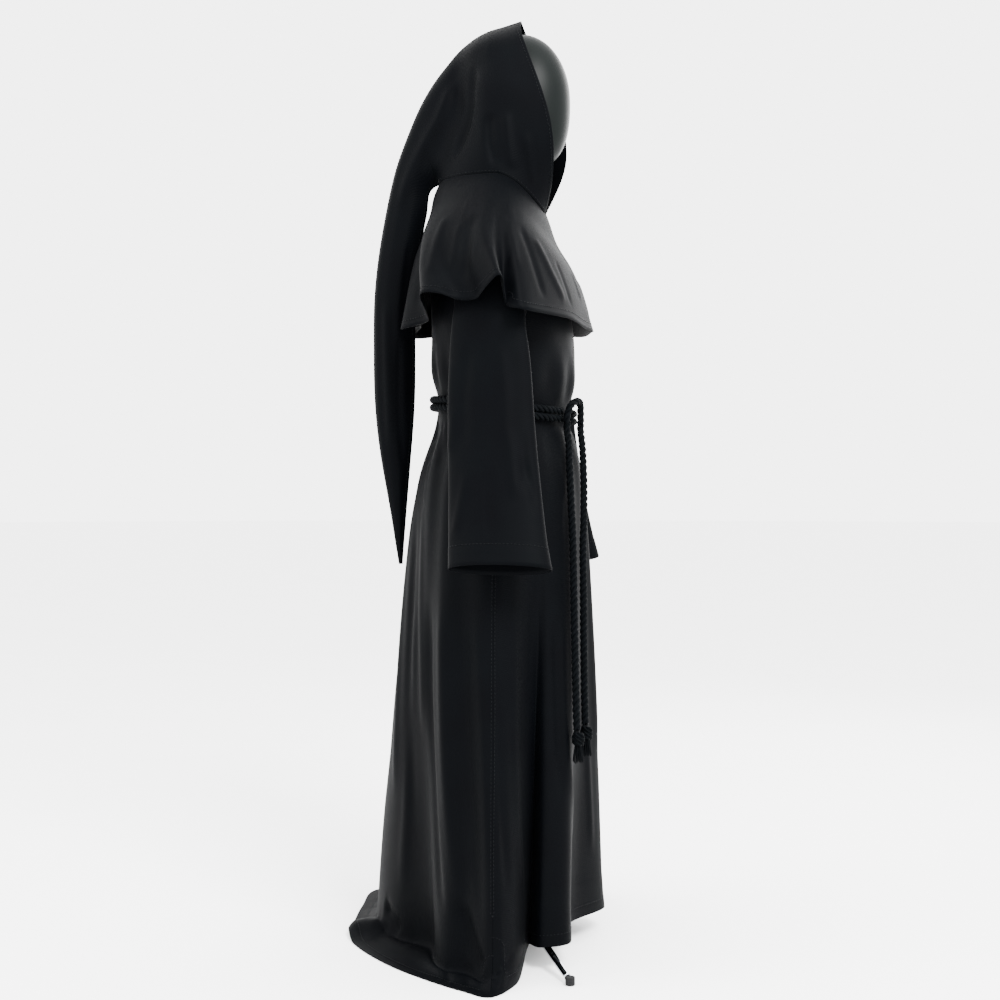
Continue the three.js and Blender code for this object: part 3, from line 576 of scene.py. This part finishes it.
# Columns: depth in mm (a hollow is negative), width in mm, how the places are given, the places
robeCreases = creasesOn(["robe_front", "robe_back"], [
    (4, 15, inView, [(417, 590), (412, 680), (408, 787), (401, 900)]),
    (6, 16, inView, [(443, 590), (445, 749), (460, 915)]),
    (-8, 17, inView, [(430, 590), (429, 700), (436, 850), (446, 930)]),
    (3, 13, inView, [(476, 600), (484, 760), (492, 890)]),
    (-4, 14, inView, [(461, 600), (468, 760), (482, 940)]),
    (3, 12, inView, [(513, 620), (518, 800), (523, 900)]),
    (-3, 11, inView, [(494, 640), (500, 780), (508, 905)]),
    (-8, 14, inView, [(399, 935), (390, 918), (384, 905)]),
    (-9, 15, inView, [(482, 975), (470, 940), (458, 900)]),
    (-3, 9, inView, [(468, 988), (465, 965)]),
    (3, 9, inView, [(500, 992), (504, 968)]),
    (-3, 8, inView, [(448, 984), (446, 964)]),
    (3, 11, inView, [(563, 600), (568, 760), (571, 900)]),
    (-3, 10, inView, [(555, 620), (561, 800)]),
    (3, 10, inView, [(583, 640), (588, 760), (592, 860)]),
    (3, 9, inView, [(431, 460), (426, 505)]),
    (-3, 9, inView, [(442, 418), (440, 470)]),
    (2, 9, inView, [(566, 445), (562, 500), (560, 550)]),
    (4, 15, fromRound, [(-20, 900), (-22, 650), (-24, 350)]),
    (-5, 14, fromRound, [(-32, 930), (-33, 700), (-34, 300)]),
    (4, 13, fromRound, [(-52, 880), (-55, 600), (-58, 260)]),
    (-4, 15, fromRound, [(-72, 860), (-74, 560), (-76, 200)]),
    (4, 16, fromRound, [(-92, 900), (-95, 620), (-98, 240)]),
    (-5, 14, fromRound, [(-108, 880), (-110, 640), (-112, 300)]),
    (4, 13, fromRound, [(-124, 930), (-127, 700), (-130, 380)]),
    (-4, 15, fromRound, [(-142, 900), (-146, 600), (-148, 250)]),
    (5, 16, fromRound, [(-160, 940), (-162, 700), (-164, 330)]),
    (-4, 13, fromRound, [(-176, 900), (-178, 560), (-180, 260)]),
    (4, 14, fromRound, [(168, 920), (166, 640), (164, 280)]),
    (-5, 15, fromRound, [(152, 880), (150, 600), (148, 240)]),
    (3, 12, fromRound, [(138, 900), (136, 700), (134, 420)]),
    (3, 10, fromRound, [(180, 1040), (178, 985), (176, 930)]),
    (-3, 9, fromRound, [(150, 1040), (146, 990)]),
    (3, 9, fromRound, [(-60, 1040), (-62, 985)]),
    (-3, 9, fromRound, [(-130, 1035), (-134, 980)]),
    (2, 9, fromRound, [(10, 1030), (8, 960)]),
    (-3, 10, fromRound, [(-6, 1030), (-8, 930), (-10, 820)]),
])
capeCreases = creasesOn(["cape"], [
    (3, 11, inView, [(500, 212), (509, 240), (514, 270)]),
    (3, 11, inView, [(447, 215), (436, 245), (428, 276)]),
    (3, 11, inView, [(532, 235), (550, 272), (566, 305)]),
    (-4, 12, inView, [(474, 215), (468, 250), (464, 284)]),
    (-2, 9, inView, [(487, 215), (490, 250)]),
    (2, 9, inView, [(461, 222), (450, 270)]),
    (-3, 9, inView, [(520, 225), (535, 268), (545, 300)]),
    (-2, 8, inView, [(554, 260), (572, 308)]),
    (3, 11, fromRound, [(-30, 1330), (-32, 1280), (-34, 1240)]),
    (-3, 12, fromRound, [(-62, 1340), (-66, 1290), (-68, 1255)]),
    (3, 11, fromRound, [(-96, 1380), (-98, 1320), (-99, 1275)]),
    (-4, 12, fromRound, [(-120, 1370), (-124, 1310), (-126, 1260)]),
    (3, 10, fromRound, [(-146, 1390), (-150, 1320), (-152, 1250)]),
    (-3, 11, fromRound, [(-172, 1400), (-174, 1320), (-175, 1250)]),
    (3, 10, fromRound, [(166, 1390), (165, 1310), (165, 1240)]),
    (-3, 11, fromRound, [(148, 1380), (146, 1310), (144, 1250)]),
    (2, 9, fromRound, [(4, 1330), (2, 1270)]),
])
rightSleeveCreases = creasesOn(["sleeve_right"], [
    (3, 11, inView, [(508, 429), (512, 465), (516, 499)]),
    (-3, 9, inView, [(522, 457), (531, 485), (537, 510)]),
    (3, 10, inView, [(466, 475), (459, 510), (454, 538)]),
    (-3, 12, inView, [(470, 340), (463, 400), (464, 450)]),
    (3, 13, inView, [(500, 345), (505, 400), (503, 445)]),
    (-2, 10, inView, [(488, 470), (487, 510), (490, 540)]),
    (2, 9, inView, [(452, 360), (450, 420)]),
    (-2, 10, fromRound, [(70, 1000), (70, 900)]),
    (3, 10, fromRound, [(100, 1050), (101, 960)]),
])
leftSleeveCreases = creasesOn(["sleeve_left"], [
    (3, 12, fromRound, [(-75, 1130), (-77, 1000), (-79, 880)]),
    (-3, 12, fromRound, [(-88, 1100), (-90, 960), (-91, 850)]),
    (3, 11, fromRound, [(-100, 1120), (-102, 1000)]),
    (2, 9, fromRound, [(-83, 930), (-84, 830)]),
])
hoodCreases = creasesOn(["hood_right", "hood_left"], [
    (-9, 13, inView, [(474, 64), (470, 105), (462, 138), (452, 162)]),
    (6, 12, inView, [(466, 70), (449, 96), (438, 121), (424, 147), (408, 184), (399, 212)]),
    (-3, 9, inView, [(400, 330), (399, 400), (402, 470)]),
    (3, 9, inView, [(386, 300), (387, 370), (391, 450)]),
    (4, 10, inView, [(505, 110), (508, 140), (514, 172)]),
    (-5, 10, inView, [(490, 112), (490, 142), (497, 168)]),
    (2, 8, inView, [(524, 130), (530, 160), (534, 188)]),
    (-2, 8, inView, [(410, 240), (404, 300), (402, 340)]),
    (3, 11, fromRound, [(-95, 1760), (-105, 1700), (-115, 1640)]),
    (-3, 12, fromRound, [(-120, 1750), (-130, 1690), (-140, 1600)]),
    (2, 9, fromRound, [(-70, 1700), (-74, 1640), (-76, 1580)]),
    (-3, 9, fromRound, [(-50, 1720), (-54, 1660)]),
    (2, 9, fromRound, [(-172, 1480), (-174, 1350), (-174, 1200)]),
])
print("creases placed")


def lowEdge(height):
    return lambda p: p.z < height * mm


def sideEdge(low, high):
    return lambda p: low * mm < p.z < high * mm


yoke = {"from": 1400, "over": 30, "lower": 3.2}
neckSeam = {"below": 1600, "frontOf": 120, "lower": 3, "over": 14}


def underCape(points):
    # the robe lies a little lower where the cape's yoke covers it
    return yoke["lower"] * mm * np.clip((points[:, 2] - yoke["from"] * mm) / (yoke["over"] * mm), 0, 1)


def seatOnCape(points, rim):
    # the hood's foot is eased down onto the cape along the neck seam
    neck = (points[:, 2] < neckSeam["below"] * mm) & (points[:, 1] < origin.y + neckSeam["frontOf"] * mm)
    return np.where(neck, neckSeam["lower"] * mm * np.clip(1 - rim / (neckSeam["over"] * mm), 0, 1), 0)


sew("robe_front", "robe_front_panel", robeCreases, [(lowEdge(70), 22)], [(sideEdge(120, 1160), 4)], 4,
    underCape)
sew("robe_back", "robe_back_panel", robeCreases, [(lowEdge(40), 22)], [(sideEdge(120, 1160), 4)], 4,
    underCape)
sew("cape", "shoulder_cape", capeCreases, [(lowEdge(1330), 16)], [], 7)
for side, creases in (("right", rightSleeveCreases), ("left", leftSleeveCreases)):
    sew("sleeve_" + side, "bell_sleeve_" + side, creases, [(lowEdge(850), 39)], [(sideEdge(1150, 1460), 5)],
        5)
for side in ("right", "left"):
    sew("hood_" + side, "hood_half_" + side, hoodCreases, [], [(lambda p: True, 6)], 5,
        seat=seatOnCape)


# the shoulders stand back from the cloth that hides them
formSet = {"easedFrom": 1300, "easedOver": 60, "eased": 5}


def roundBody(node, name, levels=2):
    mesh = bmesh.new()
    mesh.from_mesh(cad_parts[node].data)
    bmesh.ops.remove_doubles(mesh, verts=mesh.verts, dist=0.02 * mm)
    bmesh.ops.join_triangles(mesh, faces=mesh.faces, angle_face_threshold=math.pi,
                             angle_shape_threshold=math.pi)
    body = refined(mesh, name, levels)
    for vertex in body.data.vertices if node == "form_torso" else ():
        ease = min(max((vertex.co.z / mm - formSet["easedFrom"]) / formSet["easedOver"], 0), 1)
        vertex.co -= vertex.normal * formSet["eased"] * ease * mm
    body.data.shade_smooth()
    body.data.materials.clear()
    body.data.materials.append(shellPaint)
    return finishPiece(body, "form", node)


roundBody("form_torso", "dress_form_torso")
roundBody("form_head", "dress_form_head", 3)

# how far in from each end the profile steps, in mm, and its radius there as a share of the part's own
poleEnds = [(0, 0.9), (1, 1)]
hubEnds = [(0, 0.86), (2, 1), (12, 1), (13, 0.93), (15, 0.93), (16, 1)]
legEnds = [(0, 0.85), (1.2, 1)]
footEnds = [(0, 0.9), (1.2, 1), (4, 1), (4.8, 0.93), (5.6, 1)]
standParts = {"stand_pole": (poleEnds, chromeSteel, "chrome", 32),
              "stand_hub": (hubEnds, chromeSteel, "chrome", 48)}
for number in ("1", "2", "3"):
    standParts["stand_leg_" + number] = (legEnds, chromeSteel, "chrome", 32)
for number in ("1", "2", "3"):
    standParts["stand_foot_" + number] = (footEnds, rubber, "rubber", 40)
for node, (ends, finish, slotName, sides) in standParts.items():
    points = coordsOf(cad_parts[node].data)
    points = np.unique(np.round(points, 7), axis=0)
    heart = points.mean(0)
    axis = np.linalg.svd(points - heart)[2][0]
    heights = (points - heart) @ axis
    radius = np.linalg.norm(points - heart - heights[:, None] * axis, axis=1).max()
    low, high = heights.min(), heights.max()
    profile = [(low + step * mm, share) for step, share in ends]
    profile += [(high - step * mm, share) for step, share in reversed(ends)]
    across = np.cross(axis, (0.3, 0.9, 0.2))
    across /= np.linalg.norm(across)
    other = np.cross(axis, across)
    mesh = bmesh.new()
    rings = []
    for height, share in profile:
        rings.append([mesh.verts.new(heart + axis * height + radius * share * (
            across * math.cos(2 * math.pi * k / sides) + other * math.sin(2 * math.pi * k / sides)))
            for k in range(sides)])
    for a, b in zip(rings, rings[1:]):
        for k in range(sides):
            mesh.faces.new((a[k], a[(k + 1) % sides], b[(k + 1) % sides], b[k]))
    mesh.faces.new(rings[0][::-1])
    mesh.faces.new(rings[-1])
    bmesh.ops.recalc_face_normals(mesh, faces=mesh.faces)
    data = bpy.data.meshes.new(node + "_turned")
    mesh.to_mesh(data)
    mesh.free()
    data.shade_smooth()
    data.set_sharp_from_angle(angle=math.radians(35))
    data.materials.append(finish)
    piece = bpy.data.objects.new(node + "_turned", data)
    bpy.context.scene.collection.objects.link(piece)
    finishPiece(piece, slotName, node)
print("form and stand made")

floorSet = {"radius": 40, "below": 0.5}  # m, and mm under the part
floorMesh = bmesh.new()
bmesh.ops.create_circle(floorMesh, cap_ends=True, segments=64, radius=floorSet["radius"])
floorData = bpy.data.meshes.new("studio_floor")
floorMesh.to_mesh(floorData)
floorMesh.free()
floor = bpy.data.objects.new("studio_floor", floorData)
floor.location.z = -floorSet["below"] * mm
bpy.context.scene.collection.objects.link(floor)
# Matt white card: even and pale
card = newMaterial("matt_white_card", "#f2f2f2", "#f6f6f6", 400, grain(3), 0.02, 0.1, {"Roughness": 0.9})
floor.data.materials.append(card)

world = bpy.data.worlds.new("studio")
world.use_nodes = True
sky = world.node_tree.nodes["Background"].inputs
sky["Color"].default_value = linear("#ffffff")
sky["Strength"].default_value = 5.2
bpy.context.scene.world = world
lamps = {
    "key": {"place": (-2300, -1900, 3500), "aim": (0, 0, 1450), "size": 1.4, "power": 560},
    "back": {"place": (-1500, 2800, 2600), "aim": (0, 0, 900), "size": 1.2, "power": 110},
    "fill": {"place": (2800, -1200, 2400), "aim": (0, 0, 1000), "size": 2.0, "power": 90},
}
for name, lamp in lamps.items():
    light = bpy.data.objects.new(name, bpy.data.lights.new(name, "AREA"))
    light.data.size = lamp["size"]
    light.data.energy = lamp["power"]
    spot, aim = placed([lamp["place"], lamp["aim"]])
    light.location = spot
    light.rotation_euler = (aim - spot).to_track_quat("-Z", "Y").to_euler()
    bpy.context.scene.collection.objects.link(light)
print("lights set")
